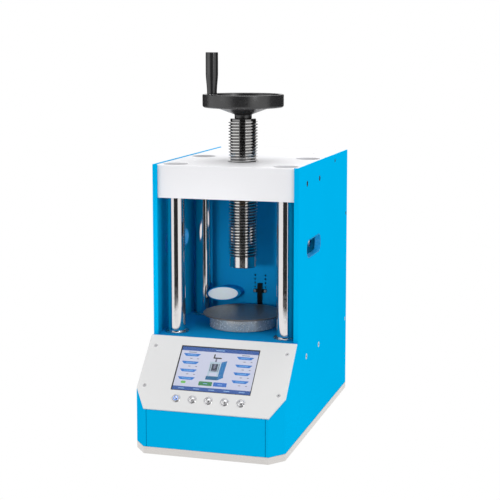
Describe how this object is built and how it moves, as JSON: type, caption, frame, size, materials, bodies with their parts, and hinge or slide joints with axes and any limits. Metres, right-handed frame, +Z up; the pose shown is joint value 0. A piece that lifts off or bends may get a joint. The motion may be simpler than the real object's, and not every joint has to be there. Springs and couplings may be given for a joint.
{
  "type": "tablet press",
  "caption": "Benchtop automatic tablet press: four-column hydraulic frame in a sheet-metal case, sloping touch-screen console, hand-wheeled lead screw over a round lifting platen.",
  "frame": {"origin": "middle of the footprint, on the underside of the base plate", "axes": "+X to the right seen by the operator, +Y from the operator towards the back, +Z up"},
  "size_m": [0.3, 0.574, 0.768],
  "materials": {
    "blue_paint": "gloss powder coat",
    "blue_paint_chamber": "gloss enamel",
    "blue_plastic": "gloss moulding",
    "white_paint": "satin",
    "panel_grey": "satin, fine texture",
    "machined_steel": "ground and plated",
    "grey_steel_paint": "matt primer",
    "black_oxide": "black oxide",
    "bright_steel": "bright",
    "ground_steel": "ground",
    "polished_dark_steel": "lapped, dark",
    "chrome_column": "hard chrome, ground",
    "chrome_screw": "turned and plated",
    "chrome_trim": "polished",
    "chrome_cap": "polished",
    "lit_cap": "lit diffuser",
    "bronze": "turned",
    "seal_rubber": "moulded",
    "opal_lens": "opal diffuser",
    "screen_glass": "clear, gloss",
    "display_black": "moulded",
    "zinc_sheet": "zinc plated",
    "zinc_pipe": "zinc plated",
    "board_green": "solder resist",
    "motor_aluminium": "cast",
    "tank_paint": "satin",
    "black_plastic": "moulded",
    "black_wheel": "satin moulding"
  },
  "bodies": {
    "frame": {"back_wall": "blue_paint_chamber", "base_plate": "machined_steel", "block_bolts": "black_oxide", "bracket_screws": "bright_steel", "button_bezels": "chrome_trim", "button_nuts": "bright_steel", "column_collars": "bright_steel", "column_nuts": "bright_steel", "columns": "chrome_column", "console_front_cover": "blue_paint", "console_left_side": "blue_paint", "console_right_side": "blue_paint", "control_panel": "panel_grey", "controller_board": "board_green", "cover_screws": "bright_steel", "crosshead": "white_paint", "cylinder_block": "grey_steel_paint", "display_module": "display_black", "dust_wiper": "seal_rubber", "electronics_plate": "zinc_sheet", "filler_cap": "black_plastic", "floor_plate": "blue_paint_chamber", "gear_pump": "motor_aluminium", "grip_lips": "blue_plastic", "hydraulic_pipe": "zinc_pipe", "lamp_body": "blue_paint_chamber", "lamp_lens": "opal_lens", "left_side_panel": "blue_paint", "motor_housing": "motor_aluminium", "oil_tank": "tank_paint", "panel_screws": "bright_steel", "power_entry_module": "black_plastic", "power_supply": "zinc_sheet", "pressure_sensor": "bright_steel", "rear_panel": "blue_paint", "rear_top_cover": "white_paint", "right_side_panel": "blue_paint", "screw_nut": "bronze", "side_panel_screws": "bright_steel", "stroke_limit_bracket": "black_oxide", "touch_glass": "screen_glass", "valve_block": "motor_aluminium"},
    "ram": {"piston": "bright_steel", "piston_seal": "seal_rubber", "platen": "ground_steel", "platen_plate": "polished_dark_steel"},
    "foot": {"press_foot": "chrome_screw", "foot_grub_screws": "black_oxide"},
    "screw": {"lead_screw": "chrome_screw", "handwheel": "black_wheel", "wheel_bolt": "bright_steel", "grip_spindle": "bright_steel"},
    "grip": {"grip_handle": "black_wheel"},
    "rotor": {"motor_rotor": "bright_steel"},
    "rocker": {"power_rocker": "black_plastic"},
    "button_1": {"button_cap_1": "lit_cap"},
    "button_2": {"button_cap_2": "chrome_cap"},
    "button_3": {"button_cap_3": "chrome_cap"},
    "button_4": {"button_cap_4": "chrome_cap"},
    "button_5": {"button_cap_5": "chrome_cap"}
  },
  "joints": [
    {"name": "ram_lift", "type": "slide", "parent": "frame", "child": "ram", "axis": [0, 0, 1], "range_m": [0, 0.05]},
    {"name": "screw_lift", "type": "slide", "parent": "frame", "child": "foot", "axis": [0, 0, 1], "range_m": [-0.0442, 0.1202]},
    {"name": "screw_spin", "type": "hinge", "parent": "foot", "child": "screw", "pos_m": [0, -0.03, 0.634], "axis": [0, 0, 1], "range_deg": [-2640, 7200]},
    {"name": "grip_spin", "type": "hinge", "parent": "screw", "child": "grip", "pos_m": [-0.05158, -0.07628, 0.7], "axis": [0, 0, 1], "continuous": true},
    {"name": "rotor_spin", "type": "hinge", "parent": "frame", "child": "rotor", "pos_m": [-0.082, 0.148, 0.075], "axis": [1, 0, 0], "continuous": true},
    {"name": "rocker_tilt", "type": "hinge", "parent": "frame", "child": "rocker", "pos_m": [-0.061, 0.282, 0.062], "axis": [-1, 0, 0], "range_deg": [0, 20]},
    {"name": "button_1_press", "type": "slide", "parent": "frame", "child": "button_1", "axis": [0, 0.7071, -0.7071], "range_m": [0, 0.0016], "stiffness_N_per_m": 800, "springref_m": -0.0008},
    {"name": "button_2_press", "type": "slide", "parent": "frame", "child": "button_2", "axis": [0, 0.7071, -0.7071], "range_m": [0, 0.0016], "stiffness_N_per_m": 800, "springref_m": -0.0008},
    {"name": "button_3_press", "type": "slide", "parent": "frame", "child": "button_3", "axis": [0, 0.7071, -0.7071], "range_m": [0, 0.0016], "stiffness_N_per_m": 800, "springref_m": -0.0008},
    {"name": "button_4_press", "type": "slide", "parent": "frame", "child": "button_4", "axis": [0, 0.7071, -0.7071], "range_m": [0, 0.0016], "stiffness_N_per_m": 800, "springref_m": -0.0008},
    {"name": "button_5_press", "type": "slide", "parent": "frame", "child": "button_5", "axis": [0, 0.7071, -0.7071], "range_m": [0, 0.0016], "stiffness_N_per_m": 800, "springref_m": -0.0008}
  ],
  "couplings": [
    {"joint": "screw_lift", "follows": "screw_spin", "m_per_rad": 0.00095493}
  ]
}
